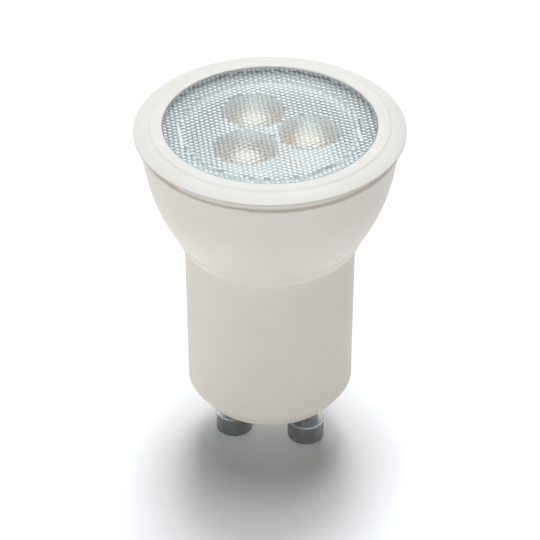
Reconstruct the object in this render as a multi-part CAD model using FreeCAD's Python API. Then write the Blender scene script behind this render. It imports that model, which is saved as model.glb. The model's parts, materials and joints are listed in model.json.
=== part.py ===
import FreeCAD, Part
import math
import os

# An LED spotlight bulb with a 35 mm front and two twist-lock contact pins.
# Millimetres. +Z up along the bulb's axis, the pins stand apart along X, and the origin is
# on the axis at the bottom of the pins.

# Contact pins
PIN_SPACING = 10.0
PIN_HEAD_R = 2.5
PIN_HEAD_H = 2.9
PIN_HEAD_EDGE = 0.3
PIN_HEAD_RIM = 0.15
PIN_NECK_R = 1.6
PIN_REACH = 8.5
PIN_TAIL = 6.0
PIN_CUP_R = 0.6
PIN_CUP_DEPTH = 2.0
PIN_FIT = 0.03

# Base barrel
BARREL_H = 24.3
BARREL_MOUTH_R = 11.25
BARREL_DRAFT = 0.17
BARREL_WALL = 1.35
BARREL_FLOOR = 1.8
BEVEL_H = 2.2
BEVEL_IN = 1.53
BEVEL_ROUND = 0.5
BORE_ROUND = 1.0
BOSS_R = 3.0
BOSS_H = 3.7
RAIL_RIB = 1.0
RAIL_GRIP = 1.1
RAIL_UNDER_SHOULDER = 0.8

# Front bezel, with heights above its seat on the shell's collar
BEZEL_R = 17.5
BEZEL_W = 3.7
BEZEL_EDGE_LOW = 0.22
BEZEL_EDGE_TOP = 0.44
BEZEL_INNER = 1.2
BEZEL_RING_W = 1.5
BEZEL_STEP = 0.16
BEZEL_STEP_W = 0.35
BEZEL_BULGE = 0.08
BEZEL_LIP_LOW = 0.3
BEZEL_UNDERCUT = 0.35
BEZEL_EDGE_ROUND = 0.12
BEZEL_INNER_ROUND = 0.2
SKIRT_WALL = 0.7
SKIRT_FIT = 0.1

# Bowl shell. Its rim lies inside the bezel's edge, and its foot is a rolled edge that
# overhangs the barrel
SHELL_H = 15.35
SHELL_INSET = 0.7
SHELL_OVERHANG = 0.25
SHELL_WALL = 1.3
SHELL_EDGE = 0.2
ROLL_H = 2.1
ROLL_OUT = 1.08
ROLL_BULGE = 0.16
LIP_GAP = 0.1
SPIGOT_H = 4.0
SPIGOT_WALL = 1.1
SPIGOT_FIT = 0.1
SPIGOT_FLARE = 1.8
COLLAR_INSET = 0.4
COLLAR_WALL = 0.6
COLLAR_H = 1.05
SEAT_DEPTH = 0.65
LEDGE_Z = 5.1
LEDGE_H = 1.9
# The share of the bowl's height that is a straight taper, and how steep that taper is beside
# the whole bowl
STRAIGHT_SHARE = 0.306
TAPER_SHARE = 0.539

# Snap beads that hold the pushed-in pieces, and the grooves they drop into
BEAD_H = 0.4
BEAD_OUT = 0.18
BEZEL_BEAD_Z = 0.2
SPIGOT_BEAD_Z = 2.2

# Lens plate: a clear plate with three cones behind it, each over one emitter
LENS_FIT = 0.1
LENS_PLAY = 0.06
LENS_PLATE_T = 1.6
LENS_SUNK = 0.15
LENS_RIB_INSET = 2.2
LENS_RIB_W = 0.6
LENS_RIB_H = 1.3
CONE_COUNT = 3
CONE_TO_RIB = 2.1
CONES_APART = 0.45
CONE_WELL_DEPTH = 2.9
CONE_WELL_BULGE = 0.5
CONE_GAP = 0.1
OPTIC_TURN = 4.6
# Radii of a cone, as shares of its radius at the plate
CONE_WAIST_SHARE = 0.892
CONE_END_SHARE = 0.614
CONE_WELL_SHARE = 0.446
CONE_WELL_TOP_SHARE = 0.398

# Heat sink cup
SINK_FIT = 0.1
SINK_WALL = 1.2
SINK_FLOOR = 1.6
SINK_RIM_WALL = 0.95
SINK_RIM_FIT = 0.1
SINK_CORNER = 0.8
DRIVER_GAP = 0.65
DISC_T = 0.8
DISC_FIT = 0.1

# LED board, its pad, emitters and screws
PAD_T = 0.25
LED_BOARD_T = 1.0
LED_BOARD_FIT = 0.64
WIRE_HOLE_R = 1.8
LED_SIDE = 3.0
LED_H = 0.7
LED_WELL_R = 1.2
LED_WELL_DEPTH = 0.35
SCREW_TO_EDGE = 0.8
SCREW_HEAD_R = 1.9
SCREW_HEAD_H = 1.2
SCREW_HEAD_ROUND = 0.4
SCREW_R = 1.0
SCREW_L = 2.7
SCREW_FIT = 0.03
SCREW_SLOT_R = 0.7
SCREW_SLOT_DEPTH = 0.6

# Driver board and what is soldered to it
BOARD_T = 1.0
BOARD_Y = 2.4
BOARD_FIT = 0.1
BOARD_UNDER_DISC = 1.2
BOARD_UNDER_SPIGOT = 3.0
STAND_OFF = 0.1
LEAD_R = 0.3
CAPACITOR_CRIMP = 0.35
CAPACITOR_CRIMP_UP = 1.4
CAPACITOR_LEAD_DROP = 1.3
CAPACITOR_TO_WALL = 0.48
FILM_H = 9.0
FILM_TO_CAPACITOR = 1.0
FILM_TO_WALL = 1.25
FILM_ROUND = 0.3
FILM_LEADS_APART = 6.0
RECTIFIER_SIZE = (4.7, 1.5, 4.0)
CHIP_SIZE = (3.9, 1.5, 4.9)
DIODE_SIZE = (4.3, 2.1, 2.6)
LEG_W = 0.5
LEG_T = 0.25
LEG_REACH = 0.8
CHOKE_TO_WALL = 1.0
CHOKE_FLANGE = 0.8
CHOKE_CORE_R = 1.6
CHOKE_WINDING_IN = 0.5
FUSE_R = 1.2
FUSE_L = 6.5
FUSE_NECK_R = 1.02
FUSE_NECK_L = 2.9
FUSE_CAP_L = 1.3
FUSE_ROUND = 0.4
FUSE_SPAN = 9.0
# Shares of the board's height or of the bore that these parts take
CAPACITOR_L_SHARE = 0.53
CAPACITOR_R_SHARE = 0.46
FILM_D_SHARE = 0.53
CHOKE_R_SHARE = 0.394

# Leads
WIRE_R = 0.5
WIRE_BEND = 0.7
PIN_WIRE_RISE = 2.4
LED_WIRE_AXIS_R = 0.75
LED_WIRE_END_R = 3.6

ORIGIN = FreeCAD.Vector(0, 0, 0)
UP = FreeCAD.Vector(0, 0, 1)
# Edges nearer than this to a named place are the ones meant
SAME_PLACE = 1e-4

# Heights along the axis, from the bottom of the pins upwards
BARREL_LOW = PIN_REACH
BEVEL_TOP = BARREL_LOW + BEVEL_H
BARREL_INSIDE = BARREL_LOW + BARREL_FLOOR
BOSS_TOP = BARREL_INSIDE + BOSS_H
PIN_TOP = BARREL_LOW + PIN_TAIL
BARREL_TOP = BARREL_LOW + BARREL_H
SHELL_FOOT = BARREL_TOP + LIP_GAP
SPIGOT_LOW = SHELL_FOOT - SPIGOT_H
ROLL_TOP = SHELL_FOOT + ROLL_H
SHELL_RIM = SHELL_FOOT + SHELL_H
BEZEL_SEAT = SHELL_RIM + COLLAR_H
SHELL_SEAT = SHELL_RIM - SEAT_DEPTH
LIP_UNDER = BEZEL_SEAT + BEZEL_LIP_LOW
LENS_FACE = BEZEL_SEAT + BEZEL_INNER - LENS_SUNK
LENS_BACK = LENS_FACE - LENS_PLATE_T
DISC_LOW = SHELL_FOOT + LEDGE_Z
SINK_LOW = DISC_LOW + DISC_T + DRIVER_GAP
SINK_INSIDE = SINK_LOW + SINK_FLOOR
LED_BOARD_LOW = SINK_INSIDE + PAD_T
LED_BOARD_TOP = LED_BOARD_LOW + LED_BOARD_T
CONE_LOW = LED_BOARD_TOP + LED_H + CONE_GAP

# Radii that follow from a neighbour and a clearance
BARREL_END_R = BARREL_MOUTH_R - BARREL_DRAFT
BARREL_BORE_R = BARREL_MOUTH_R - BARREL_WALL
SPIGOT_R = BARREL_BORE_R - SPIGOT_FIT
SPIGOT_BORE_R = SPIGOT_R - SPIGOT_WALL
SHELL_FOOT_R = BARREL_MOUTH_R + SHELL_OVERHANG
ROLL_TOP_R = SHELL_FOOT_R + ROLL_OUT
SHELL_RIM_R = BEZEL_R - SHELL_INSET
COLLAR_R = SHELL_RIM_R - COLLAR_INSET
COLLAR_BORE_R = COLLAR_R - COLLAR_WALL
SKIRT_R = COLLAR_BORE_R - SKIRT_FIT
SKIRT_BORE_R = SKIRT_R - SKIRT_WALL
BEZEL_OPENING_R = BEZEL_R - BEZEL_W
BEZEL_RING_R = BEZEL_OPENING_R + BEZEL_RING_W
LENS_FLANGE_R = SKIRT_BORE_R - LENS_FIT
LENS_RIB_R = BEZEL_OPENING_R - LENS_RIB_INSET

# Three cones fill the lens's ring rib: each clears the rib and its two neighbours
CONE_REACH = LENS_RIB_R - LENS_RIB_W / 2 - CONE_TO_RIB
HALF_BETWEEN = math.sin(math.pi / CONE_COUNT)
CONE_AXIS_R = (CONE_REACH + CONES_APART / 2) / (1 + HALF_BETWEEN)
CONE_TOP_R = CONE_REACH - CONE_AXIS_R

# The bowl's section is a straight taper below the rim, then an arc that is tangent to it
# and ends on the rolled edge round the foot
BOWL_H = SHELL_H - ROLL_H
TAPER = math.atan(TAPER_SHARE * (SHELL_RIM_R - ROLL_TOP_R) / BOWL_H)
TANGENT_R = SHELL_RIM_R - STRAIGHT_SHARE * BOWL_H * math.tan(TAPER)
TANGENT_Z = SHELL_RIM - STRAIGHT_SHARE * BOWL_H
CHORD_R = TANGENT_R - ROLL_TOP_R
CHORD_Z = TANGENT_Z - ROLL_TOP
CHORD_SAG = CHORD_R * math.cos(TAPER) - CHORD_Z * math.sin(TAPER)
SHELL_CURVE_R = (CHORD_R**2 + CHORD_Z**2) / (2 * CHORD_SAG)
CURVE_CENTRE_R = TANGENT_R - SHELL_CURVE_R * math.cos(TAPER)
CURVE_CENTRE_Z = TANGENT_Z + SHELL_CURVE_R * math.sin(TAPER)


def bowl_tangent(inset):
    """Where arc and taper meet on the bowl's surface, moved inwards by the inset."""
    reach = SHELL_CURVE_R - inset
    return CURVE_CENTRE_R + reach * math.cos(TAPER), CURVE_CENTRE_Z - reach * math.sin(TAPER)


def bowl_radius(z, inset=0.0):
    """Radius of the bowl's surface at a height, moved inwards by the inset."""
    if z > bowl_tangent(inset)[1]:
        return SHELL_RIM_R - inset / math.cos(TAPER) - (SHELL_RIM - z) * math.tan(TAPER)
    reach = SHELL_CURVE_R - inset
    return CURVE_CENTRE_R + math.sqrt(reach**2 - (z - CURVE_CENTRE_Z) ** 2)


def bowl_arc(z_from, z_to, inset=0.0):
    """The step that follows the bowl's arc from one height to another."""
    z_middle = (z_from + z_to) / 2
    return bowl_radius(z_middle, inset), z_middle, bowl_radius(z_to, inset), z_to


# The cup lies in the bowl, and the LED board on the cup's floor
SINK_OUTER_INSET = SHELL_WALL + SINK_FIT
SINK_INNER_INSET = SINK_OUTER_INSET + SINK_WALL
LED_BOARD_R = bowl_radius(SINK_INSIDE, SINK_INNER_INSET) - LED_BOARD_FIT
SCREW_AXIS_R = LED_BOARD_R - SCREW_TO_EDGE - SCREW_HEAD_R

# The driver board slides down between two rails in the barrel and ends below the disc
BOARD_LOW = BOSS_TOP + BOARD_FIT
BOARD_TOP = DISC_LOW - BOARD_UNDER_DISC
BOARD_SHOULDER = SPIGOT_LOW - BOARD_UNDER_SPIGOT
BOARD_FRONT = BOARD_Y - BOARD_T / 2
BOARD_BACK = BOARD_Y + BOARD_T / 2
RAIL_TOP = BOARD_SHOULDER - RAIL_UNDER_SHOULDER
RAIL_FRONT = BOARD_FRONT - BOARD_FIT - RAIL_RIB
RAIL_BACK = BOARD_BACK + BOARD_FIT + RAIL_RIB
RAIL_ROOT_X = math.sqrt(BARREL_BORE_R**2 - RAIL_BACK**2)
RAIL_FACE_X = RAIL_ROOT_X - RAIL_GRIP
SLOT_END_X = RAIL_ROOT_X - RAIL_GRIP / 2
BOARD_WIDE_X = SLOT_END_X - BOARD_FIT
BOARD_NARROW_X = math.sqrt(SPIGOT_BORE_R**2 - BOARD_BACK**2) - BOARD_FIT

# Parts on the board, sized to the room inside the shell's spigot and the barrel's bore
CAPACITOR_R = CAPACITOR_R_SHARE * SPIGOT_BORE_R
CAPACITOR_L = CAPACITOR_L_SHARE * (BOARD_TOP - BOARD_LOW)
CAPACITOR_Y = BOARD_FRONT - STAND_OFF - CAPACITOR_R
CAPACITOR_REACH = SPIGOT_BORE_R - CAPACITOR_TO_WALL - CAPACITOR_R
CAPACITOR_X = -math.sqrt(CAPACITOR_REACH**2 - CAPACITOR_Y**2)
FILM_BACK = BOARD_FRONT - STAND_OFF
FILM_FRONT = FILM_BACK - FILM_D_SHARE * SPIGOT_BORE_R
FILM_LEFT = CAPACITOR_X + CAPACITOR_R + FILM_TO_CAPACITOR
FILM_RIGHT = math.sqrt(SPIGOT_BORE_R**2 - FILM_FRONT**2) - FILM_TO_WALL
CHOKE_R = CHOKE_R_SHARE * BARREL_BORE_R
CHOKE_WINDING_R = CHOKE_R - CHOKE_WINDING_IN
CHOKE_H = math.sqrt(BARREL_BORE_R**2 - CHOKE_R**2) - BOARD_BACK - CHOKE_TO_WALL


def spread(heights):
    """Middles of parts of these heights, spaced evenly up the driver board."""
    gap = (BOARD_TOP - BOARD_LOW - sum(heights)) / (len(heights) + 1)
    middles = []
    top = BOARD_LOW
    for height in heights:
        middles.append(top + gap + height / 2)
        top += gap + height
    return middles


CAPACITOR_ROOM = CAPACITOR_L + CAPACITOR_LEAD_DROP + LEAD_R
FRONT_MIDDLES = spread([RECTIFIER_SIZE[2], CAPACITOR_ROOM, 2 * WIRE_R])
RECTIFIER_Z, CAPACITOR_MIDDLE, LED_WIRE_Z = FRONT_MIDDLES
CAPACITOR_TOP = CAPACITOR_MIDDLE + CAPACITOR_ROOM / 2
CAPACITOR_LOW = CAPACITOR_TOP - CAPACITOR_L
BACK_MIDDLES = spread([2 * FUSE_R, 2 * CHOKE_R, DIODE_SIZE[2], CHIP_SIZE[2]])
FUSE_Z, CHOKE_Z, DIODE_Z, CHIP_Z = BACK_MIDDLES


def bulged(start, end, bulge):
    """The arc step from start to end that stands out to the right of the line by the bulge."""
    run_r = end[0] - start[0]
    run_z = end[1] - start[1]
    share = bulge / math.hypot(run_r, run_z)
    middle_r = (start[0] + end[0]) / 2 + run_z * share
    middle_z = (start[1] + end[1]) / 2 - run_r * share
    return middle_r, middle_z, end[0], end[1]


def turned(start, *steps):
    """A solid turned about Z from a half section. A step is the next (r, z), or an arc's
    middle and end as (r, z, r, z). The section closes by itself."""
    edges = []
    here = FreeCAD.Vector(start[0], 0, start[1])
    for step in steps + (start,):
        end = FreeCAD.Vector(step[-2], 0, step[-1])
        if len(step) == 4:
            middle = FreeCAD.Vector(step[0], 0, step[1])
            edges.append(Part.Arc(here, middle, end).toShape())
        else:
            edges.append(Part.LineSegment(here, end).toShape())
        here = end
    return Part.Face(Part.Wire(edges)).revolve(ORIGIN, UP, 360)


def ring_edges(shape, rings):
    """The circular edges of a turned shape that lie at the given (r, z) places."""
    found = []
    for edge in shape.Edges:
        curve = edge.Curve
        if not isinstance(curve, Part.Circle):
            continue
        for r, z in rings:
            if abs(curve.Radius - r) < SAME_PLACE and abs(curve.Center.z - z) < SAME_PLACE:
                found.append(edge)
    return found


def rounded(shape, radius, *rings):
    return shape.makeFillet(radius, ring_edges(shape, rings))


def cylinder(radius, low, high, x=0.0, y=0.0):
    return Part.makeCylinder(radius, high - low, FreeCAD.Vector(x, y, low), UP)


def block(x, y, z):
    """A box from its (low, high) span along each axis."""
    corner = FreeCAD.Vector(x[0], y[0], z[0])
    return Part.makeBox(x[1] - x[0], y[1] - y[0], z[1] - z[0], corner)


def polar(radius, degrees):
    turn = math.radians(degrees)
    return radius * math.cos(turn), radius * math.sin(turn)


def lead(points, radius, bend):
    """A round lead along straight runs, with a tangent arc of the bend radius at each turn."""
    points = [FreeCAD.Vector(*p) for p in points]
    edges = []
    here = points[0]
    for before, corner, after in zip(points, points[1:], points[2:]):
        arrive = (corner - before).normalize()
        leave = (after - corner).normalize()
        half_turn = arrive.getAngle(leave) / 2
        cut = bend * math.tan(half_turn)
        first = corner - arrive * cut
        last = corner + leave * cut
        inwards = (leave - arrive).normalize()
        middle = corner + inwards * (bend / math.cos(half_turn) - bend)
        edges.append(Part.LineSegment(here, first).toShape())
        edges.append(Part.Arc(first, middle, last).toShape())
        here = last
    edges.append(Part.LineSegment(here, points[-1]).toShape())
    circle = Part.Wire(Part.Circle(points[0], points[1] - points[0], radius).toShape())
    return Part.Wire(edges).makePipeShell([circle], True, False)


def snap_bead(radius, z):
    """A bead round a wall of that radius, peaking at z. Cut from a bore, it is the groove."""
    low = z - BEAD_H / 2
    high = z + BEAD_H / 2
    root = radius - BEAD_OUT
    return turned((root, low), (radius, low), (radius + BEAD_OUT, z), (radius, high), (root, high))


def make_contact_pin(side):
    """A turned pin: a wide head, a neck through the barrel's floor and a solder cup on top."""
    head_low = (PIN_HEAD_R, 0)
    head_high = (PIN_HEAD_R, PIN_HEAD_H)
    cup_floor = PIN_TOP - PIN_CUP_DEPTH
    pin = turned(
        (0, 0),
        head_low,
        head_high,
        (PIN_NECK_R, PIN_HEAD_H),
        (PIN_NECK_R, PIN_TOP),
        (PIN_CUP_R, PIN_TOP),
        (PIN_CUP_R, cup_floor),
        (0, cup_floor),
    )
    pin = pin.makeFillet(PIN_HEAD_EDGE, ring_edges(pin, [head_low]))
    pin = pin.makeChamfer(PIN_HEAD_RIM, ring_edges(pin, [head_high]))
    return pin.translated(FreeCAD.Vector(side * PIN_SPACING / 2, 0, 0))


def make_base_barrel():
    """A drafted tube with a bevelled closed end, a boss round each pin and two board rails."""
    outer_end_r = BARREL_END_R - BEVEL_IN
    barrel = turned(
        (0, BARREL_LOW),
        (outer_end_r, BARREL_LOW),
        (BARREL_END_R, BEVEL_TOP),
        (BARREL_MOUTH_R, BARREL_TOP),
        (BARREL_BORE_R, BARREL_TOP),
        (BARREL_BORE_R, BARREL_INSIDE),
        (0, BARREL_INSIDE),
    )
    barrel = rounded(barrel, BEVEL_ROUND, (outer_end_r, BARREL_LOW), (BARREL_END_R, BEVEL_TOP))
    barrel = rounded(barrel, BORE_ROUND, (BARREL_BORE_R, BARREL_INSIDE))
    barrel = rounded(barrel, SHELL_EDGE, (BARREL_MOUTH_R, BARREL_TOP))
    groove_z = SHELL_FOOT - SPIGOT_BEAD_Z
    barrel = barrel.cut(snap_bead(BARREL_BORE_R, groove_z))
    root = BARREL_INSIDE - BARREL_FLOOR / 2
    inside_wall = cylinder(BARREL_BORE_R + BEAD_OUT, root, RAIL_TOP)
    for side in (-1, 1):
        barrel = barrel.fuse(cylinder(BOSS_R, root, BOSS_TOP, side * PIN_SPACING / 2))
        rail_x = sorted((side * RAIL_FACE_X, side * BARREL_BORE_R))
        slot_x = sorted((0, side * SLOT_END_X))
        slot_y = (BOARD_FRONT - BOARD_FIT, BOARD_BACK + BOARD_FIT)
        rail = block(rail_x, (RAIL_FRONT, RAIL_BACK), (root, RAIL_TOP)).common(inside_wall)
        barrel = barrel.fuse(rail.cut(block(slot_x, slot_y, (BOSS_TOP, RAIL_TOP))))
    for side in (-1, 1):
        pin_hole = cylinder(PIN_NECK_R + PIN_FIT, 0, BOSS_TOP, side * PIN_SPACING / 2)
        barrel = barrel.cut(pin_hole)
    return barrel.removeSplitter()


def make_bowl_shell():
    """Collar for the bezel on top, seat for its skirt, ledge for the disc, rolled foot and
    spigot below."""
    foot = (SHELL_FOOT_R, SHELL_FOOT)
    roll_top = (ROLL_TOP_R, ROLL_TOP)
    tangent_z = bowl_tangent(0)[1]
    inner_tangent_r, inner_tangent_z = bowl_tangent(SHELL_WALL)
    seat_r = bowl_radius(SHELL_SEAT, SHELL_WALL)
    ledge_foot = DISC_LOW - LEDGE_H
    ledge_r = bowl_radius(ledge_foot, SHELL_WALL)
    flare_z = SHELL_FOOT + SPIGOT_FLARE
    shell = turned(
        foot,
        bulged(foot, roll_top, ROLL_BULGE),
        bowl_arc(ROLL_TOP, tangent_z),
        (SHELL_RIM_R, SHELL_RIM),
        (COLLAR_R, SHELL_RIM),
        (COLLAR_R, BEZEL_SEAT),
        (COLLAR_BORE_R, BEZEL_SEAT),
        (COLLAR_BORE_R, SHELL_SEAT),
        (seat_r, SHELL_SEAT),
        (inner_tangent_r, inner_tangent_z),
        bowl_arc(inner_tangent_z, DISC_LOW, SHELL_WALL),
        (ledge_r, DISC_LOW),
        (ledge_r, ledge_foot),
        bowl_arc(ledge_foot, flare_z, SHELL_WALL),
        (SPIGOT_BORE_R, SHELL_FOOT),
        (SPIGOT_BORE_R, SPIGOT_LOW),
        (SPIGOT_R, SPIGOT_LOW),
        (SPIGOT_R, SHELL_FOOT),
    )
    shell = rounded(shell, SHELL_EDGE, (SHELL_RIM_R, SHELL_RIM), foot)
    shell = shell.fuse(snap_bead(SPIGOT_R, SHELL_FOOT - SPIGOT_BEAD_Z))
    groove = snap_bead(COLLAR_BORE_R, SHELL_RIM - BEZEL_BEAD_Z)
    return shell.cut(groove)


def make_front_bezel():
    """A level ring round the lens that steps down to a sloping brim. The skirt below snaps
    into the shell's collar, and the lip inside holds the lens."""
    opening_high = BEZEL_SEAT + BEZEL_INNER
    brim_edge = (BEZEL_R, BEZEL_SEAT + BEZEL_EDGE_TOP)
    brim_root = (BEZEL_RING_R + BEZEL_STEP_W, opening_high - BEZEL_STEP)
    edge_low = BEZEL_SEAT + BEZEL_EDGE_LOW
    skirt_low = SHELL_SEAT + SKIRT_FIT
    bezel = turned(
        (BEZEL_OPENING_R, LIP_UNDER),
        (BEZEL_OPENING_R, opening_high),
        (BEZEL_RING_R, opening_high),
        brim_root,
        bulged(brim_root, brim_edge, -BEZEL_BULGE),
        (BEZEL_R, edge_low),
        (BEZEL_R - BEZEL_UNDERCUT, BEZEL_SEAT),
        (SKIRT_R, BEZEL_SEAT),
        (SKIRT_R, skirt_low),
        (SKIRT_BORE_R, skirt_low),
        (SKIRT_BORE_R, LIP_UNDER),
    )
    bezel = rounded(bezel, BEZEL_EDGE_ROUND, brim_edge)
    bezel = rounded(bezel, BEZEL_INNER_ROUND, (BEZEL_OPENING_R, opening_high))
    bead_z = SHELL_RIM - BEZEL_BEAD_Z
    return bezel.fuse(snap_bead(SKIRT_R, bead_z))


def cone_direction(index):
    """The direction of a cone, in degrees. A half index is halfway between two cones."""
    return OPTIC_TURN + index * 360 / CONE_COUNT


def make_cone():
    """One light-gathering cone about the Z axis. The well over its emitter has a bulging roof."""
    middle_z = (LENS_BACK + CONE_LOW) / 2
    well_z = CONE_LOW + CONE_WELL_DEPTH
    well_top_r = CONE_WELL_TOP_SHARE * CONE_TOP_R
    bulge_z = well_z - CONE_WELL_BULGE
    roof_r = (well_top_r**2 + CONE_WELL_BULGE**2) / (2 * CONE_WELL_BULGE)
    half_turn = math.asin(well_top_r / roof_r) / 2
    roof_middle_r = roof_r * math.sin(half_turn)
    roof_middle_z = bulge_z + roof_r * (1 - math.cos(half_turn))
    inside_z = LENS_BACK + LENS_PLATE_T / 2
    return turned(
        (0, bulge_z),
        (roof_middle_r, roof_middle_z, well_top_r, well_z),
        (CONE_WELL_SHARE * CONE_TOP_R, CONE_LOW),
        (CONE_END_SHARE * CONE_TOP_R, CONE_LOW),
        (CONE_WAIST_SHARE * CONE_TOP_R, middle_z, CONE_TOP_R, LENS_BACK),
        (CONE_TOP_R, inside_z),
        (0, inside_z),
    )


def make_lens_plate():
    """One moulding: plate, flange under the bezel's lip, ring rib and the cones behind."""
    flange_top = LIP_UNDER - LENS_PLAY
    face_r = BEZEL_OPENING_R - LENS_FIT
    rib_in = LENS_RIB_R - LENS_RIB_W / 2
    rib_out = LENS_RIB_R + LENS_RIB_W / 2
    rib_low = LENS_BACK - LENS_RIB_H
    plate = turned(
        (0, LENS_BACK),
        (rib_in, LENS_BACK),
        (rib_in, rib_low),
        (rib_out, rib_low),
        (rib_out, LENS_BACK),
        (LENS_FLANGE_R, LENS_BACK),
        (LENS_FLANGE_R, flange_top),
        (face_r, flange_top),
        (face_r, LENS_FACE),
        (0, LENS_FACE),
    )
    cone = make_cone()
    for index in range(CONE_COUNT):
        x, y = polar(CONE_AXIS_R, cone_direction(index))
        plate = plate.fuse(cone.translated(FreeCAD.Vector(x, y, 0)))
    return plate.removeSplitter()


def make_heat_sink_cup():
    """An aluminium cup that follows the bowl and carries the lens's flange on its rim."""
    floor_r = bowl_radius(SINK_LOW, SINK_OUTER_INSET)
    outer_tangent_z = bowl_tangent(SINK_OUTER_INSET)[1]
    inner_tangent_r, inner_tangent_z = bowl_tangent(SINK_INNER_INSET)
    shoulder = SHELL_SEAT - SINK_FIT
    rim_top = LENS_BACK - LENS_PLAY
    rim_r = SKIRT_BORE_R - SINK_RIM_FIT
    rim_bore_r = rim_r - SINK_RIM_WALL
    cup = turned(
        (0, SINK_LOW),
        (floor_r, SINK_LOW),
        bowl_arc(SINK_LOW, outer_tangent_z, SINK_OUTER_INSET),
        (bowl_radius(shoulder, SINK_OUTER_INSET), shoulder),
        (rim_r, shoulder),
        (rim_r, rim_top),
        (rim_bore_r, rim_top),
        (inner_tangent_r, inner_tangent_z),
        bowl_arc(inner_tangent_z, SINK_INSIDE, SINK_INNER_INSET),
        (0, SINK_INSIDE),
    )
    cup = rounded(cup, SINK_CORNER, (floor_r, SINK_LOW))
    return drilled(cup, SINK_LOW, SINK_INSIDE, SCREW_R + SCREW_FIT)


def drilled(shape, low, high, screw_hole_r):
    """Cuts the middle hole for the leads and the screw holes between the cones."""
    shape = shape.cut(cylinder(WIRE_HOLE_R, low, high))
    for index in range(CONE_COUNT):
        x, y = polar(SCREW_AXIS_R, cone_direction(index + 0.5))
        shape = shape.cut(cylinder(screw_hole_r, low, high, x, y))
    return shape


def make_insulating_disc():
    radius = bowl_radius(DISC_LOW, SHELL_WALL) - DISC_FIT
    disc = cylinder(radius, DISC_LOW, DISC_LOW + DISC_T)
    return disc.cut(cylinder(WIRE_HOLE_R, DISC_LOW, DISC_LOW + DISC_T))


def make_thermal_pad():
    pad = cylinder(LED_BOARD_R, SINK_INSIDE, LED_BOARD_LOW)
    return drilled(pad, SINK_INSIDE, LED_BOARD_LOW, SCREW_R + SCREW_FIT)


def make_led_board():
    board = cylinder(LED_BOARD_R, LED_BOARD_LOW, LED_BOARD_TOP)
    return drilled(board, LED_BOARD_LOW, LED_BOARD_TOP, SCREW_R + SCREW_FIT)


def make_led_board_screws():
    screws = []
    for index in range(CONE_COUNT):
        x, y = polar(SCREW_AXIS_R, cone_direction(index + 0.5))
        head_top = LED_BOARD_TOP + SCREW_HEAD_H
        head = cylinder(SCREW_HEAD_R, LED_BOARD_TOP, head_top, x, y)
        head = rounded(head, SCREW_HEAD_ROUND, (SCREW_HEAD_R, head_top))
        head = head.cut(cylinder(SCREW_SLOT_R, head_top - SCREW_SLOT_DEPTH, head_top, x, y))
        shank = cylinder(SCREW_R, LED_BOARD_TOP - SCREW_L, LED_BOARD_TOP, x, y)
        screws.append(head.fuse(shank))
    return Part.makeCompound(screws)


def placed_led(shape, index):
    """Moves a piece drawn on the axis to its emitter's place, square to the optic."""
    degrees = cone_direction(index)
    x, y = polar(CONE_AXIS_R, degrees)
    shape = shape.copy()
    shape.rotate(ORIGIN, UP, degrees)
    return shape.translated(FreeCAD.Vector(x, y, 0))


def make_led(index):
    half = LED_SIDE / 2
    top = LED_BOARD_TOP + LED_H
    body = block((-half, half), (-half, half), (LED_BOARD_TOP, top))
    well = cylinder(LED_WELL_R, top - LED_WELL_DEPTH, top)
    return placed_led(body.cut(well), index)


def make_led_phosphor(index):
    top = LED_BOARD_TOP + LED_H
    return placed_led(cylinder(LED_WELL_R, top - LED_WELL_DEPTH, top), index)


def make_driver_board():
    """Wide where it slides in the rails, narrower above them to pass the shell's spigot."""
    board_y = (BOARD_FRONT, BOARD_BACK)
    wide = block((-BOARD_WIDE_X, BOARD_WIDE_X), board_y, (BOARD_LOW, BOARD_SHOULDER))
    narrow = block((-BOARD_NARROW_X, BOARD_NARROW_X), board_y, (BOARD_LOW, BOARD_TOP))
    return wide.fuse(narrow).removeSplitter()


def make_smoothing_capacitor():
    """A can with its crimped groove and two leads bent back into the board."""
    crimp_z = CAPACITOR_LOW + CAPACITOR_CRIMP_UP
    can = turned(
        (0, CAPACITOR_LOW),
        (CAPACITOR_R, CAPACITOR_LOW),
        (CAPACITOR_R, crimp_z - CAPACITOR_CRIMP),
        (CAPACITOR_R - CAPACITOR_CRIMP, crimp_z, CAPACITOR_R, crimp_z + CAPACITOR_CRIMP),
        (CAPACITOR_R, CAPACITOR_TOP),
        (0, CAPACITOR_TOP),
    )
    ends = [(CAPACITOR_R, CAPACITOR_TOP), (CAPACITOR_R, CAPACITOR_LOW)]
    can = rounded(can, CAPACITOR_CRIMP, *ends)
    can = can.translated(FreeCAD.Vector(CAPACITOR_X, CAPACITOR_Y, 0))
    low = CAPACITOR_LOW - CAPACITOR_LEAD_DROP
    for side in (-1, 1):
        x = CAPACITOR_X + side * CAPACITOR_R / 2
        start = (x, CAPACITOR_Y, CAPACITOR_LOW + LEAD_R)
        can = can.fuse(lead([start, (x, CAPACITOR_Y, low), (x, BOARD_FRONT, low)], LEAD_R, WIRE_BEND))
    return can


def make_film_capacitor():
    """A rounded box beside the smoothing capacitor, with two short leads into the board."""
    span = (CAPACITOR_MIDDLE - FILM_H / 2, CAPACITOR_MIDDLE + FILM_H / 2)
    box = block((FILM_LEFT, FILM_RIGHT), (FILM_FRONT, FILM_BACK), span)
    box = box.makeFillet(FILM_ROUND, box.Edges)
    x = (FILM_LEFT + FILM_RIGHT) / 2
    for side in (-1, 1):
        z = CAPACITOR_MIDDLE + side * FILM_LEADS_APART / 2
        start = FreeCAD.Vector(x, FILM_BACK - LEAD_R, z)
        length = BOARD_FRONT - start.y
        box = box.fuse(Part.makeCylinder(LEAD_R, length, start, FreeCAD.Vector(0, 1, 0)))
    return box


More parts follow.
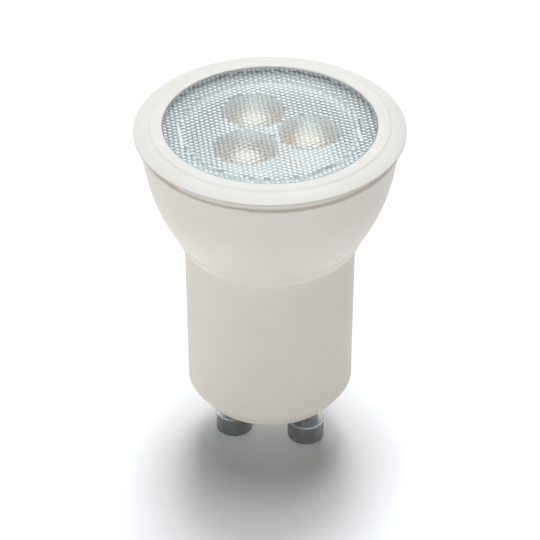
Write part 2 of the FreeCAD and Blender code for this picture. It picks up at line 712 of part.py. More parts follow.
def make_chip(size, z, legs, back):
    """A flat moulded package on the board with legs along both sides, on its front or back."""
    width, height, length = size
    face = BOARD_BACK if back else BOARD_FRONT
    outward = 1 if back else -1
    body_y = sorted((face + outward * LEG_T, face + outward * height))
    span = (z - length / 2, z + length / 2)
    chip = block((-width / 2, width / 2), body_y, span)
    leg_y = sorted((face, face + outward * (height / 2 + LEG_T)))
    foot_y = sorted((face, face + outward * LEG_T))
    for side in (-1, 1):
        for index in range(legs):
            centre = z + ((index + 0.5) / legs - 0.5) * length
            leg_z = (centre - LEG_W / 2, centre + LEG_W / 2)
            knee = side * (width / 2 + LEG_T)
            leg_x = sorted((side * width / 2, knee))
            foot_x = sorted((side * width / 2, side * (width / 2 + LEG_REACH)))
            chip = chip.fuse([block(leg_x, leg_y, leg_z), block(foot_x, foot_y, leg_z)])
    return chip.removeSplitter()


def turned_on_board(shape, z):
    """Lays a piece that was turned about Z onto the board's back, its axis along Y."""
    shape = shape.copy()
    shape.rotate(ORIGIN, FreeCAD.Vector(1, 0, 0), -90)
    return shape.translated(FreeCAD.Vector(0, BOARD_BACK, z))


def make_choke_core():
    core = turned(
        (0, 0),
        (CHOKE_R, 0),
        (CHOKE_R, CHOKE_FLANGE),
        (CHOKE_CORE_R, CHOKE_FLANGE),
        (CHOKE_CORE_R, CHOKE_H - CHOKE_FLANGE),
        (CHOKE_R, CHOKE_H - CHOKE_FLANGE),
        (CHOKE_R, CHOKE_H),
        (0, CHOKE_H),
    )
    return turned_on_board(core, CHOKE_Z)


def make_choke_winding():
    low, high = CHOKE_FLANGE, CHOKE_H - CHOKE_FLANGE
    winding = cylinder(CHOKE_WINDING_R, low, high).cut(cylinder(CHOKE_CORE_R, low, high))
    return turned_on_board(winding, CHOKE_Z)


def make_fuse_resistor():
    """An axial body with swollen ends and two leads bent into the board."""
    half = FUSE_L / 2
    neck_half = FUSE_NECK_L / 2
    body = turned(
        (0, -half),
        (FUSE_R, -half),
        (FUSE_R, FUSE_CAP_L - half),
        (FUSE_NECK_R, -neck_half),
        (FUSE_NECK_R, neck_half),
        (FUSE_R, half - FUSE_CAP_L),
        (FUSE_R, half),
        (0, half),
    )
    body = rounded(body, FUSE_ROUND, (FUSE_R, -half), (FUSE_R, half))
    body.rotate(ORIGIN, FreeCAD.Vector(0, 1, 0), 90)
    y = BOARD_BACK + STAND_OFF + FUSE_R
    body = body.translated(FreeCAD.Vector(0, y, FUSE_Z))
    for side in (-1, 1):
        knee = side * FUSE_SPAN / 2
        start = side * (half - LEAD_R)
        route = [(start, y, FUSE_Z), (knee, y, FUSE_Z), (knee, BOARD_BACK, FUSE_Z)]
        body = body.fuse(lead(route, LEAD_R, WIRE_BEND))
    return body


def make_pin_wire(side):
    x = side * PIN_SPACING / 2
    cup_floor = PIN_TOP - PIN_CUP_DEPTH
    high = PIN_TOP + PIN_WIRE_RISE
    return lead([(x, 0, cup_floor), (x, 0, high), (x, BOARD_FRONT, high)], WIRE_R, WIRE_BEND)


def make_led_wire(index):
    """From the driver board up through the middle holes, then out onto the LED board."""
    x, y = polar(LED_WIRE_AXIS_R, cone_direction(index + 0.5))
    end_x, end_y = polar(LED_WIRE_END_R, cone_direction(index + 0.5))
    high = LED_BOARD_TOP + WIRE_R
    inside = [(x, BOARD_FRONT, LED_WIRE_Z), (x, y, LED_WIRE_Z)]
    route = inside + [(x, y, high), (end_x, end_y, high)]
    return lead(route, WIRE_R, WIRE_BEND)


parts = {
    "contact_pin_left": make_contact_pin(-1),
    "contact_pin_right": make_contact_pin(1),
    "base_barrel": make_base_barrel(),
    "bowl_shell": make_bowl_shell(),
    "front_bezel": make_front_bezel(),
    "lens_plate": make_lens_plate(),
    "heat_sink_cup": make_heat_sink_cup(),
    "insulating_disc": make_insulating_disc(),
    "thermal_pad": make_thermal_pad(),
    "led_board": make_led_board(),
    "led_board_screws": make_led_board_screws(),
    "driver_board": make_driver_board(),
    "smoothing_capacitor": make_smoothing_capacitor(),
    "film_capacitor": make_film_capacitor(),
    "bridge_rectifier": make_chip(RECTIFIER_SIZE, RECTIFIER_Z, legs=2, back=False),
    "driver_chip": make_chip(CHIP_SIZE, CHIP_Z, legs=4, back=True),
    "flyback_diode": make_chip(DIODE_SIZE, DIODE_Z, legs=1, back=True),
    "choke_core": make_choke_core(),
    "choke_winding": make_choke_winding(),
    "fuse_resistor": make_fuse_resistor(),
    "pin_wire_left": make_pin_wire(-1),
    "pin_wire_right": make_pin_wire(1),
    "led_wire_plus": make_led_wire(0),
    "led_wire_minus": make_led_wire(1),
}
for number in range(CONE_COUNT):
    parts[f"led_{number + 1}"] = make_led(number)
    parts[f"led_{number + 1}_phosphor"] = make_led_phosphor(number)

os.makedirs("parts", exist_ok=True)
for name, shape in parts.items():
    print(name, len(shape.Solids), round(shape.Volume, 2), shape.isValid())
    shape.exportStep(f"parts/{name}.step")
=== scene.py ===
import json
import math

import bmesh
import bpy
import numpy as np
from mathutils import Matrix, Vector


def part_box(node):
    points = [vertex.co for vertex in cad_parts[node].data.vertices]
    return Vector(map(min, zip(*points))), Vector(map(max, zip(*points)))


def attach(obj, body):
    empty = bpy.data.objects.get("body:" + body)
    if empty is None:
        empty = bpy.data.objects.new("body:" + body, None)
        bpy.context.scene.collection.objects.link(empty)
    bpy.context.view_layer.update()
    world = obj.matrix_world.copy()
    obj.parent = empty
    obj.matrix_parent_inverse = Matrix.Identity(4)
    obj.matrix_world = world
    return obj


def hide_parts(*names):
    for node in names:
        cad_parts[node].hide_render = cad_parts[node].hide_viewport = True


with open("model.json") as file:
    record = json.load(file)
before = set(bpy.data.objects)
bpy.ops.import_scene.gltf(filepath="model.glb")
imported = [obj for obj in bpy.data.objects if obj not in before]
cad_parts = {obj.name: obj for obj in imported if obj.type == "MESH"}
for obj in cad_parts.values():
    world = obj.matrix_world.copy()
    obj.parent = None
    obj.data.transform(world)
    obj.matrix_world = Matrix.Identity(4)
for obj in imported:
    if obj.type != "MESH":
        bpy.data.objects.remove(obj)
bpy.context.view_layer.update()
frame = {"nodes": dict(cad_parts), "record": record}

MM = 0.001
WHITE = (1, 1, 1, 1)

# Camera, fitted to the photograph: a long lens that looks down on the bulb
CAMERA_AZIMUTH = math.radians(10.25)
CAMERA_ELEVATION = math.radians(35.9)
CAMERA_DISTANCE = 358.5 * MM
CAMERA_TARGET = Vector((0, 0, 27.3 * MM))
CAMERA_LENS = 180.0
CAMERA_SENSOR = 36.0
CAMERA_CLIP = (0.01, 20.0)

# Light: a row of soft lamps from overhead to low behind, with weaker ones in front and beside.
# A lamp is its share of the light on a white surface that faces it, its turn from the camera's
# side (positive to the right), its height above the floor and its width, in degrees.
LAMPS = {
    "overhead": (0.36, 0, 90, 20),
    "behind_overhead": (0.32, 180, 75, 20),
    "behind": (0.26, 168, 59, 26),
    "low_behind": (0.10, 180, 40, 20),
    "front": (0.24, -20, 13, 24),
    "left_side": (0.15, -115, 6, 30),
    "right_side": (0.10, 110, 6, 30),
}

# The floor takes part in the light as a dull white, and is shown as pure white away from the shadow
FLOOR_SIZE = 6.0
FLOOR_BOUNCE = (0.86, 0.85, 0.84, 1)
FLOOR_SEEN = (1.05, 1.08, 1.11, 1)

# Shares of noise between which a material's looks change
NOISE_LOW = 0.3
NOISE_HIGH = 0.7
# A wave texture of scale 1 turns through this many radians over one metre
WAVE_TURN = 20
MOULDED_IOR = 1.5

# The lens's clear plastic: how it bends, blurs and mirrors light, outside and inside
PLASTIC_IOR = 1.49
OUTER_GLOSS = (0.3, 0.34)
INNER_BLUR = 0.12
INNER_GLOSS = 0.5
INNER_SHINE = (0.5, 0.51, 0.52, 1)

# The lens plate's moulded beads: a lattice of small domes
BEAD_PITCH = 0.708 * MM
BEAD_RADIUS = 0.9 * MM
BEAD_TURN = math.radians(47)
BEAD_STEPS = 4
# From a bead's centre to the places where three beads meet
CORNER_REACH = BEAD_PITCH / math.sqrt(3)
# The lattice's two steps are not square to each other, so more of them are needed to fill a circle
SKEW_MARGIN = 1.2

# The lens plate has a flange, a ring rib and three cones behind it, as the solid has them
lens_low, lens_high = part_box("lens_plate")
LENS_FACE = lens_high.z
LENS_FACE_R = 13.7 * MM
LENS_FLANGE_R = lens_high.x
LENS_BACK = LENS_FACE - 1.6 * MM
FLANGE_TOP = 49.54 * MM
RIB_R = 11.6 * MM
RIB_HALF_W = 0.3 * MM
RIB_LOW = LENS_BACK - 1.3 * MM
CONE_LOW = lens_low.z
CONE_AXIS_R = 5.05 * MM
CONE_TOP_R = 4.15 * MM
CONE_WAIST_R = 3.7 * MM
CONE_END_R = 2.55 * MM
WELL_TOP_R = 1.65 * MM
WELL_R = 1.85 * MM
WELL_DEPTH = 2.9 * MM
WELL_BULGE = 0.5 * MM
CONE_COUNT = 3
CONE_TURN = math.radians(4.6)
CONE_OVERLAP = 0.8 * MM
CONE_STEPS = 20
CONE_SEGMENTS = 96
WELL_STEPS = 8
# Edges that bend more than this angle stay crisp, and heights this close count as the same
SHARP_ANGLE = math.radians(30)
CLOSE = 0.01 * MM


def colour(red, green, blue):
    """A colour written as the 0 to 255 values that it shows on screen."""
    linear = []
    for value in (red, green, blue):
        part = value / 255
        linear.append(part / 12.92 if part <= 0.04045 else ((part + 0.055) / 1.055) ** 2.4)
    return (*linear, 1)


def grey(share):
    """A plain share, held as a colour."""
    return (share, share, share, 1)


CLEAR_TINT = colour(248, 252, 252)
SHADOW_TINT = colour(242, 244, 245)

# Cloudiness and tint of the lens behind its plate, from the cones' ends up to the plate. The warm cream
# and orange band low in the cones is painted: it stands for the yellow emitters seen through them.
CLOUD_SHARES = ((0.0, grey(0.5)), (0.94, grey(0.78)), (1.0, grey(0.0)))
CLOUD_AND_PAINTED_EMITTER_TINTS = (
    (0.1, colour(238, 230, 220)),
    (0.28, colour(240, 206, 176)),
    (0.38, colour(244, 242, 238)),
    (0.5, colour(250, 253, 254)),
)


# Node helpers


def new_material(name):
    made = bpy.data.materials.new(name)
    made.use_nodes = True
    return made, made.node_tree, made.node_tree.nodes["Principled BSDF"]


def grain(tree, size, detail=2.0, stretch=(1, 1, 1)):
    """Noise in the part's own coordinates whose features are about this size."""
    place = tree.nodes.new("ShaderNodeTexCoord")
    scale = tree.nodes.new("ShaderNodeMapping")
    scale.inputs["Scale"].default_value = [share / size for share in stretch]
    noise = tree.nodes.new("ShaderNodeTexNoise")
    noise.inputs["Scale"].default_value = 1.0
    noise.inputs["Detail"].default_value = detail
    tree.links.new(place.outputs["Object"], scale.inputs["Vector"])
    tree.links.new(scale.outputs["Vector"], noise.inputs["Vector"])
    return noise.outputs["Fac"]


def between(tree, factor, low, high):
    """Maps noise, which stays near its middle, onto the range from low to high."""
    ranged = tree.nodes.new("ShaderNodeMapRange")
    ranged.inputs["From Min"].default_value = NOISE_LOW
    ranged.inputs["From Max"].default_value = NOISE_HIGH
    ranged.inputs["To Min"].default_value = low
    ranged.inputs["To Max"].default_value = high
    tree.links.new(factor, ranged.inputs["Value"])
    return ranged.outputs["Result"]


def mottled(tree, shader, factor, first, second):
    """Lets the base colour wander between two colours."""
    mix = tree.nodes.new("ShaderNodeMix")
    mix.data_type = "RGBA"
    mix.inputs["A"].default_value = first
    mix.inputs["B"].default_value = second
    tree.links.new(between(tree, factor, 0, 1), mix.inputs["Factor"])
    tree.links.new(mix.outputs["Result"], shader.inputs["Base Color"])


def uneven_gloss(tree, shader, factor, rough):
    """Lets the roughness wander over a (low, high) range."""
    tree.links.new(between(tree, factor, *rough), shader.inputs["Roughness"])


def bumped(tree, shader, factor, depth):
    """Fine relief of this depth."""
    bump = tree.nodes.new("ShaderNodeBump")
    bump.inputs["Strength"].default_value = 1.0
    bump.inputs["Distance"].default_value = depth
    tree.links.new(factor, bump.inputs["Height"])
    tree.links.new(bump.outputs["Normal"], shader.inputs["Normal"])


def shared(tree, factor, first, second):
    """Mixes two shaders by a value or a socket that says how much the second one counts."""
    mix = tree.nodes.new("ShaderNodeMixShader")
    if isinstance(factor, float):
        mix.inputs["Fac"].default_value = factor
    else:
        tree.links.new(factor, mix.inputs["Fac"])
    tree.links.new(first.outputs[0], mix.inputs[1])
    tree.links.new(second.outputs[0], mix.inputs[2])
    return mix


def ramped(tree, factor, stops):
    """Colours that change evenly from one (place, colour) stop to the next."""
    node = tree.nodes.new("ShaderNodeValToRGB")
    first, *middle, last = stops
    node.color_ramp.elements[0].position, node.color_ramp.elements[0].color = first
    node.color_ramp.elements[1].position, node.color_ramp.elements[1].color = last
    for place, shown in middle:
        node.color_ramp.elements.new(place).color = shown
    tree.links.new(factor, node.inputs["Fac"])
    return node.outputs["Color"]


# Materials, one function for each kind of surface


def moulded_plastic(name, first, second, rough=(0.36, 0.46)):
    """Satin moulded plastic: slow mottling, uneven gloss and a very fine texture."""
    made, tree, shader = new_material(name)
    mottled(tree, shader, grain(tree, 6 * MM, 4), first, second)
    uneven_gloss(tree, shader, grain(tree, 2.5 * MM, 3), rough)
    bumped(tree, shader, grain(tree, 0.35 * MM), 0.004 * MM)
    shader.inputs["IOR"].default_value = MOULDED_IOR
    return made


def turned_metal(name, first, second, rough=(0.24, 0.42)):
    """Metal with fine tool marks that run round the vertical axis, and duller patches."""
    made, tree, shader = new_material(name)
    mottled(tree, shader, grain(tree, 0.8 * MM, 4), first, second)
    uneven_gloss(tree, shader, grain(tree, 0.6 * MM, 3), rough)
    along_the_marks = (0.05, 0.05, 1)
    bumped(tree, shader, grain(tree, 0.12 * MM, stretch=along_the_marks), 0.006 * MM)
    shader.inputs["Metallic"].default_value = 1.0
    return made


def coated_board(name, first, second):
    """Solder mask over the faint relief of woven or rolled board."""
    made, tree, shader = new_material(name)
    mottled(tree, shader, grain(tree, 1.2 * MM, 5), first, second)
    uneven_gloss(tree, shader, grain(tree, 0.8 * MM, 3), (0.3, 0.4))
    bumped(tree, shader, grain(tree, 0.2 * MM), 0.004 * MM)
    shader.inputs["Coat Weight"].default_value = 0.3
    shader.inputs["Coat Roughness"].default_value = 0.2
    return made


def soft_pad(name, first, second):
    """Dull, slightly coarse stuff: a soft pad, pressed fibre or sintered powder."""
    made, tree, shader = new_material(name)
    mottled(tree, shader, grain(tree, 0.5 * MM, 4), first, second)
    uneven_gloss(tree, shader, grain(tree, 0.4 * MM, 3), (0.7, 0.9))
    bumped(tree, shader, grain(tree, 0.15 * MM, 3), 0.02 * MM)
    return made


def wound_wire(name, first, second, pitch=0.22 * MM):
    """Enamelled wire laid turn beside turn along the winding's axis, which is Y."""
    made, tree, shader = new_material(name)
    mottled(tree, shader, grain(tree, 0.6 * MM, 3), first, second)
    place = tree.nodes.new("ShaderNodeTexCoord")
    wave = tree.nodes.new("ShaderNodeTexWave")
    wave.bands_direction = "Y"
    wave.inputs["Scale"].default_value = 2 * math.pi / (WAVE_TURN * pitch)
    tree.links.new(place.outputs["Object"], wave.inputs["Vector"])
    bumped(tree, shader, wave.outputs["Fac"], 0.05 * MM)
    uneven_gloss(tree, shader, grain(tree, 0.4 * MM), (0.25, 0.4))
    shader.inputs["Metallic"].default_value = 0.7
    return made


def polished_surface(tree, seen):
    """What light does at the lens's surface: it goes in with a slight blur, or is mirrored.
    Inside the lens the mirroring is duller and weaker than where the surface itself is seen."""
    through = tree.nodes.new("ShaderNodeBsdfRefraction")
    through.inputs["Color"].default_value = CLEAR_TINT
    through.inputs["Roughness"].default_value = INNER_BLUR
    through.inputs["IOR"].default_value = PLASTIC_IOR
    gloss = tree.nodes.new("ShaderNodeBsdfAnisotropic")
    rough = tree.nodes.new("ShaderNodeMapRange")
    rough.inputs["To Min"].default_value = INNER_GLOSS
    tree.links.new(seen, rough.inputs["Value"])
    tree.links.new(between(tree, grain(tree, 1.5 * MM, 3), *OUTER_GLOSS), rough.inputs["To Max"])
    tree.links.new(rough.outputs["Result"], gloss.inputs["Roughness"])
    level = tree.nodes.new("ShaderNodeMix")
    level.data_type = "RGBA"
    level.inputs["A"].default_value = INNER_SHINE
    level.inputs["B"].default_value = WHITE
    tree.links.new(seen, level.inputs["Factor"])
    tree.links.new(level.outputs["Result"], gloss.inputs["Color"])
    edge = tree.nodes.new("ShaderNodeFresnel")
    edge.inputs["IOR"].default_value = PLASTIC_IOR
    return shared(tree, edge.outputs["Fac"], through, gloss)


def height_share(tree, low, high):
    """How far a place is up from one height to another, from 0 to 1."""
    place = tree.nodes.new("ShaderNodeTexCoord")
    split = tree.nodes.new("ShaderNodeSeparateXYZ")
    tree.links.new(place.outputs["Object"], split.inputs["Vector"])
    height = tree.nodes.new("ShaderNodeMapRange")
    height.inputs["From Min"].default_value = low
    height.inputs["From Max"].default_value = high
    tree.links.new(split.outputs["Z"], height.inputs["Value"])
    return height.outputs["Result"]


def milky(tree, tint):
    """Scatters light forwards and back in equal shares."""
    behind = tree.nodes.new("ShaderNodeBsdfTranslucent")
    before = tree.nodes.new("ShaderNodeBsdfDiffuse")
    tree.links.new(tint, behind.inputs["Color"])
    tree.links.new(tint, before.inputs["Color"])
    return shared(tree, 0.5, behind, before)


def clear_moulding(name):
    """Clear plastic with a satin gloss. What stands behind the plate is faintly cloudy, with a painted
    warm band low in the cones for the emitters seen through them.
    Lamps shine straight through it, because a shadow ray can't follow a bend."""
    made, tree, shader = new_material(name)
    tree.nodes.remove(shader)
    path = tree.nodes.new("ShaderNodeLightPath")
    clear = polished_surface(tree, path.outputs["Is Camera Ray"])
    height = height_share(tree, CONE_LOW, LENS_BACK)
    # The warm band in this milk is painted: the emitters' yellow, seen through the cones.
    milk_and_painted_emitter = milky(tree, ramped(tree, height, CLOUD_AND_PAINTED_EMITTER_TINTS))
    cloudy = shared(tree, ramped(tree, height, CLOUD_SHARES), clear, milk_and_painted_emitter)
    straight = tree.nodes.new("ShaderNodeBsdfTransparent")
    straight.inputs["Color"].default_value = SHADOW_TINT
    whole = shared(tree, path.outputs["Is Shadow Ray"], cloudy, straight)
    tree.links.new(whole.outputs["Shader"], tree.nodes["Material Output"].inputs["Surface"])
    return made


def emitter_fill(name):
    """Silicone with phosphor grains, seen unlit."""
    made, tree, shader = new_material(name)
    mottled(tree, shader, grain(tree, 0.12 * MM, 3), colour(250, 190, 92), colour(255, 214, 130))
    uneven_gloss(tree, shader, grain(tree, 0.3 * MM), (0.25, 0.4))
    bumped(tree, shader, grain(tree, 0.1 * MM), 0.01 * MM)
    return made


MATERIALS = {
    "bezel": moulded_plastic("bezel_plastic", colour(227, 227, 223), colour(224, 224, 219), (0.5, 0.6)),
    "shell": moulded_plastic("shell_plastic", colour(243, 238, 232), colour(240, 234, 228), (0.28, 0.32)),
    "barrel": moulded_plastic("barrel_plastic", colour(245, 240, 232), colour(242, 237, 228), (0.3, 0.38)),
    "lens": clear_moulding("lens_plastic"),
    # The nickel's grey is partly its own and partly painted shade for the dim light under the bulb.
    "pin": turned_metal("pin_nickel", colour(164, 168, 170), colour(148, 153, 156), (0.34, 0.42)),
    # The cup is shown greyer than bare aluminium: painted shade for the inside of the cup.
    "heat_sink": turned_metal("cup_aluminium", colour(188, 194, 195), colour(177, 184, 187), (0.45, 0.6)),
    "insulator": soft_pad("insulator_fibre", colour(196, 186, 160), colour(182, 170, 142)),
    "thermal_pad": soft_pad("thermal_silicone", colour(168, 176, 184), colour(150, 158, 168)),
    # The board's mask is shown darker than its own pale tone: painted shade for the inside of the cup.
    "led_board": coated_board("led_board_mask", colour(188, 194, 195), colour(178, 185, 188)),
    "screw": turned_metal("screw_zinc", colour(190, 190, 186), colour(160, 160, 158)),
    "led_body": moulded_plastic("led_ceramic", colour(240, 238, 230), colour(230, 228, 220)),
    "phosphor": emitter_fill("led_phosphor"),
    "driver_board": coated_board("driver_board_mask", colour(44, 92, 58), colour(36, 80, 50)),
    "capacitor": moulded_plastic("capacitor_sleeve", colour(34, 36, 44), colour(26, 28, 34)),
    "film_capacitor": moulded_plastic("film_resin", colour(150, 48, 36), colour(128, 38, 30)),
    "chip": moulded_plastic("chip_epoxy", colour(30, 30, 32), colour(40, 40, 42), (0.5, 0.65)),
    "ferrite": soft_pad("ferrite", colour(52, 50, 52), colour(66, 62, 62)),
    "copper": wound_wire("copper_winding", colour(190, 104, 62), colour(158, 78, 44)),
    "fuse_body": moulded_plastic("resistor_coat", colour(112, 150, 140), colour(96, 134, 124)),
    "wire_white": moulded_plastic("wire_white", colour(226, 224, 218), colour(214, 212, 204)),
    "wire_red": moulded_plastic("wire_red", colour(168, 36, 30), colour(150, 28, 24)),
    "wire_black": moulded_plastic("wire_black", colour(30, 30, 32), colour(22, 22, 24)),
}


# Mesh helpers


def turned_mesh(name, outline, segments=192):
    """A mesh turned about Z from (r, z) corners. Corners on the axis close it to a point."""
    made = bmesh.new()
    rings = []
    for r, z in outline:
        if r == 0:
            rings.append([made.verts.new((0, 0, z))])
            continue
        turns = [2 * math.pi * step / segments for step in range(segments)]
        rings.append([made.verts.new((r * math.cos(t), r * math.sin(t), z)) for t in turns])
    for low, high in zip(rings, rings[1:]):
        for step in range(segments):
            after = (step + 1) % segments
            below = [low[place % len(low)] for place in (step, after)]
            above = [high[place % len(high)] for place in (after, step)]
            # A ring on the axis is one corner, which a face names only once
            made.faces.new(list(dict.fromkeys(below + above)))
    bmesh.ops.recalc_face_normals(made, faces=made.faces)
    mesh = bpy.data.meshes.new(name)
    made.to_mesh(mesh)
    made.free()
    return mesh


def arc(start, middle, end, steps):
    """Points on the circle through three (r, z) places, without the first."""
    (ax, az), (bx, bz), (cx, cz) = start, middle, end
    twice = 2 * (ax * (bz - cz) + bx * (cz - az) + cx * (az - bz))
    a2, b2, c2 = ax * ax + az * az, bx * bx + bz * bz, cx * cx + cz * cz
    centre_x = (a2 * (bz - cz) + b2 * (cz - az) + c2 * (az - bz)) / twice
    centre_z = (a2 * (cx - bx) + b2 * (ax - cx) + c2 * (bx - ax)) / twice
    radius = math.hypot(ax - centre_x, az - centre_z)
    first = math.atan2(az - centre_z, ax - centre_x)
    last = math.atan2(cz - centre_z, cx - centre_x)
    turn = (last - first + math.pi) % (2 * math.pi) - math.pi
    places = []
    for step in range(1, steps + 1):
        angle = first + turn * step / steps
        places.append((centre_x + radius * math.cos(angle), centre_z + radius * math.sin(angle)))
    return places


def add_object(name, data):
    made = bpy.data.objects.new(name, data)
    bpy.context.scene.collection.objects.link(made)
    return made


# The lens: its beaded face, its body and its cones


def bead_heights(places, centres):
    """Height of the domes over their feet at these places."""
    reach = np.hypot(*(places - centres).T)
    foot = math.sqrt(BEAD_RADIUS**2 - CORNER_REACH**2)
    return np.sqrt(BEAD_RADIUS**2 - np.minimum(reach, CORNER_REACH) ** 2) - foot


def lattice(pitch, turn):
    """The two steps, 60 degrees apart, that lead over a triangular lattice."""
    steps = [(math.cos(angle), math.sin(angle)) for angle in (turn, turn + math.pi / 3)]
    return np.array(steps) * pitch


def nearest_bead(points):
    """The centre of the bead nearest to each point, out of the corners of its cell."""
    centre_lattice = lattice(BEAD_PITCH, BEAD_TURN)
    cell = np.floor(points @ np.linalg.inv(centre_lattice))
    choices = np.stack([cell + step for step in ((0, 0), (1, 0), (0, 1), (1, 1))])
    centres = choices @ centre_lattice
    best = np.hypot(*(centres - points).transpose(2, 0, 1)).argmin(0)
    return centres[best, np.arange(len(points))]


def beaded_face():
    """The round face of the plate: a fine triangular grid, domed over each bead's centre.
    The grid is turned by 30 degrees, so its lines also follow the creases between beads."""
    grid_step = CORNER_REACH / BEAD_STEPS
    count = math.ceil(LENS_FACE_R / grid_step * SKEW_MARGIN)
    span = np.arange(-count, count + 1)
    grid = np.stack(np.meshgrid(span, span, indexing="ij"), -1)
    places = grid.reshape(-1, 2) @ lattice(grid_step, BEAD_TURN + math.pi / 6)
    width = len(span)
    row, column = np.meshgrid(np.arange(width - 1), np.arange(width - 1), indexing="ij")
    corner = (row * width + column).ravel()
    lower = np.stack((corner, corner + width, corner + 1), 1)
    upper = np.stack((corner + width, corner + width + 1, corner + 1), 1)
    faces = np.concatenate((lower, upper))
    inside = np.hypot(*places.T) < LENS_FACE_R
    faces = faces[inside[faces].any(1)]
    used, faces = np.unique(faces, return_inverse=True)
    faces = faces.reshape(-1, 3)
    places = places[used]
    reach = np.hypot(*places.T)
    outside = reach > LENS_FACE_R
    places[outside] *= (LENS_FACE_R / reach[outside])[:, None]
    heights = LENS_FACE + bead_heights(places, nearest_bead(places))
    vertices = np.column_stack((places, heights))
    mesh = bpy.data.meshes.new("lens_face")
    mesh.from_pydata(vertices.tolist(), [], faces.tolist())
    owner = nearest_bead(places[faces].mean(1))
    return mesh, owner


def crease_between_beads(mesh, owner):
    """Marks the edges where two domes meet as sharp, and closes the rim down to the plate."""
    made = bmesh.new()
    made.from_mesh(mesh)
    made.faces.ensure_lookup_table()
    for face in made.faces:
        face.smooth = True
    for edge in made.edges:
        if len(edge.link_faces) == 2:
            first, second = (owner[face.index] for face in edge.link_faces)
            edge.smooth = bool(np.hypot(*(first - second)) < BEAD_PITCH / 2)
    rim = [edge for edge in made.edges if len(edge.link_faces) == 1]
    wall = bmesh.ops.extrude_edge_only(made, edges=rim)["geom"]
    for corner in wall:
        if isinstance(corner, bmesh.types.BMVert):
            corner.co.z = LENS_FACE
    made.to_mesh(mesh)
    made.free()


def lens_body():
    """Plate, flange and rib, closed on top. The beaded face takes the top's place later."""
    outline = [
        (0, LENS_FACE),
        (LENS_FACE_R, LENS_FACE),
        (LENS_FACE_R, FLANGE_TOP),
        (LENS_FLANGE_R, FLANGE_TOP),
        (LENS_FLANGE_R, LENS_BACK),
        (RIB_R + RIB_HALF_W, LENS_BACK),
        (RIB_R + RIB_HALF_W, RIB_LOW),
        (RIB_R - RIB_HALF_W, RIB_LOW),
        (RIB_R - RIB_HALF_W, LENS_BACK),
        (0, LENS_BACK),
    ]
    return add_object("lens_optic", turned_mesh("lens_optic", outline))


def lens_cone(index):
    """A cone with the well over its emitter, let a little into the plate."""
    middle = (CONE_LOW + LENS_BACK) / 2
    well_top = CONE_LOW + WELL_DEPTH
    roof = well_top - WELL_BULGE
    inside = LENS_BACK + CONE_OVERLAP
    outline = [(0, roof)]
    dome = (WELL_TOP_R**2 + WELL_BULGE**2) / (2 * WELL_BULGE)
    for step in range(1, WELL_STEPS + 1):
        turn = math.asin(WELL_TOP_R / dome) * step / WELL_STEPS
        outline.append((dome * math.sin(turn), roof + dome * (1 - math.cos(turn))))
    outline.append((WELL_R, CONE_LOW))
    outline.append((CONE_END_R, CONE_LOW))
    waist = (CONE_WAIST_R, middle)
    outline += arc((CONE_END_R, CONE_LOW), waist, (CONE_TOP_R, LENS_BACK), CONE_STEPS)
    outline += [(CONE_TOP_R, inside), (0, inside)]
    mesh = turned_mesh(f"cone_{index}", outline, CONE_SEGMENTS)
    turn = CONE_TURN + index * 2 * math.pi / CONE_COUNT
    place = Vector((CONE_AXIS_R * math.cos(turn), CONE_AXIS_R * math.sin(turn), 0))
    for corner in mesh.vertices:
        corner.co += place
    return add_object(f"cone_{index}", mesh)


def joined(body, tool):
    """Joins a closed mesh onto another, as one moulding."""
    union = body.modifiers.new("join", "BOOLEAN")
    union.operation = "UNION"
    union.solver = "EXACT"
    union.object = tool
    ready = body.evaluated_get(bpy.context.evaluated_depsgraph_get())
    mesh = bpy.data.meshes.new_from_object(ready)
    body.modifiers.clear()
    body.data = mesh
    bpy.data.objects.remove(tool)


def make_lens():
    """The whole lens as one moulding, with its beaded face, in place of the plain one."""
    body = lens_body()
    for index in range(CONE_COUNT):
        joined(body, lens_cone(index))
    face_mesh, owner = beaded_face()
    crease_between_beads(face_mesh, owner)
    made = bmesh.new()
    made.from_mesh(body.data)
    plain_top = [face for face in made.faces if face.calc_center_median().z > LENS_FACE - CLOSE]
    bmesh.ops.delete(made, geom=plain_top, context="FACES")
    for face in made.faces:
        face.smooth = True
    for edge in made.edges:
        if len(edge.link_faces) == 2:
            edge.smooth = edge.calc_face_angle() < SHARP_ANGLE
    made.from_mesh(face_mesh)
    made.to_mesh(body.data)
    made.free()
    body.data.materials.clear()
    body.data.materials.append(MATERIALS["lens"])
    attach(body, "root")
    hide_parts("lens_plate")


def dress_solids():
    """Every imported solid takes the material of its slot."""
    slot_of = {part["node"]: part["material_slot"] for part in frame["record"]["subparts"]}
    for node, solid in frame["nodes"].items():
        solid.data.materials.clear()
        solid.data.materials.append(MATERIALS[slot_of[node]])


# The stage: floor, surround, lamps and camera


def make_floor():
    """A white floor that shows the bulb's shadow. The camera sees it lighter than the bulb does."""
    half = FLOOR_SIZE / 2
    mesh = bpy.data.meshes.new("floor")
    corners = [(-half, -half, 0), (half, -half, 0), (half, half, 0), (-half, half, 0)]
    mesh.from_pydata(corners, [], [(0, 1, 2, 3)])
    floor = add_object("floor", mesh)
    made = bpy.data.materials.new("floor_white")
    made.use_nodes = True
    tree = made.node_tree
    tree.nodes.clear()
    path = tree.nodes.new("ShaderNodeLightPath")
    mix = tree.nodes.new("ShaderNodeMix")
    mix.data_type = "RGBA"
    mix.clamp_result = False
    mix.inputs["A"].default_value = FLOOR_BOUNCE
    mix.inputs["B"].default_value = FLOOR_SEEN
    diffuse = tree.nodes.new("ShaderNodeBsdfDiffuse")
    output = tree.nodes.new("ShaderNodeOutputMaterial")
    tree.links.new(path.outputs["Is Camera Ray"], mix.inputs["Factor"])
    tree.links.new(mix.outputs["Result"], diffuse.inputs["Color"])
    tree.links.new(diffuse.outputs["BSDF"], output.inputs["Surface"])
    mesh.materials.append(made)


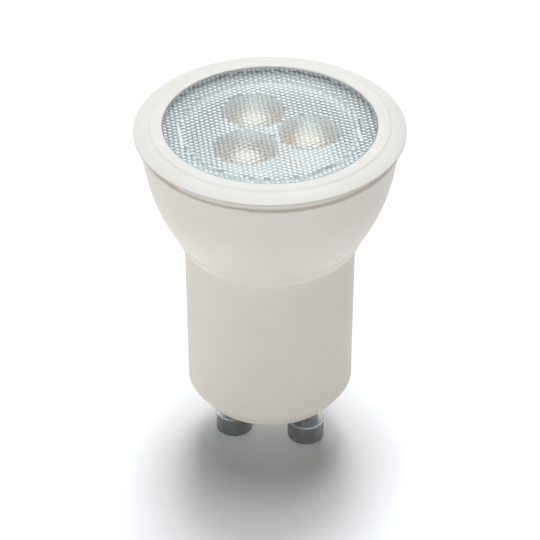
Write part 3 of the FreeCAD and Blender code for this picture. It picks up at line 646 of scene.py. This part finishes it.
def light_surround():
    """An even white world, where it is seen, in gloss and through the lens. Elsewhere it is dark,
    so the lamps alone light the dull surfaces."""
    world = bpy.data.worlds.new("surround")
    world.use_nodes = True
    bpy.context.scene.world = world
    tree = world.node_tree
    background = tree.nodes["Background"]
    background.inputs["Color"].default_value = WHITE
    path = tree.nodes.new("ShaderNodeLightPath")
    seen = path.outputs["Is Camera Ray"]
    for ray in ("Is Glossy Ray", "Is Transmission Ray"):
        either = tree.nodes.new("ShaderNodeMath")
        either.operation = "MAXIMUM"
        tree.links.new(seen, either.inputs[0])
        tree.links.new(path.outputs[ray], either.inputs[1])
        seen = either.outputs["Value"]
    tree.links.new(seen, background.inputs["Strength"])


def light_from(name, share, turn, height, width):
    """A distant lamp. It isn't seen through the clear lens, where it would only make specks."""
    lamp = bpy.data.lights.new(name, "SUN")
    lamp.angle = math.radians(width)
    lamp.energy = math.pi * share
    made = add_object(name, lamp)
    made.visible_transmission = False
    heading = CAMERA_AZIMUTH + math.radians(turn)
    rise = math.radians(height)
    level = math.cos(rise)
    shine = Vector((level * math.sin(heading), -level * math.cos(heading), math.sin(rise)))
    made.rotation_mode = "QUATERNION"
    made.rotation_quaternion = shine.to_track_quat("Z", "Y")


def place_camera():
    camera = add_object("camera", bpy.data.cameras.new("camera"))
    camera.data.lens = CAMERA_LENS
    camera.data.sensor_width = CAMERA_SENSOR
    camera.data.clip_start, camera.data.clip_end = CAMERA_CLIP
    level = math.cos(CAMERA_ELEVATION)
    side = level * math.sin(CAMERA_AZIMUTH)
    front = -level * math.cos(CAMERA_AZIMUTH)
    back = Vector((side, front, math.sin(CAMERA_ELEVATION)))
    camera.location = CAMERA_TARGET + back * CAMERA_DISTANCE
    camera.rotation_mode = "QUATERNION"
    camera.rotation_quaternion = back.to_track_quat("Z", "Y")
    bpy.context.scene.camera = camera


dress_solids()
make_lens()
make_floor()
light_surround()
for name, settings in LAMPS.items():
    light_from(name, *settings)
place_camera()
bpy.context.scene.view_settings.view_transform = "Standard"
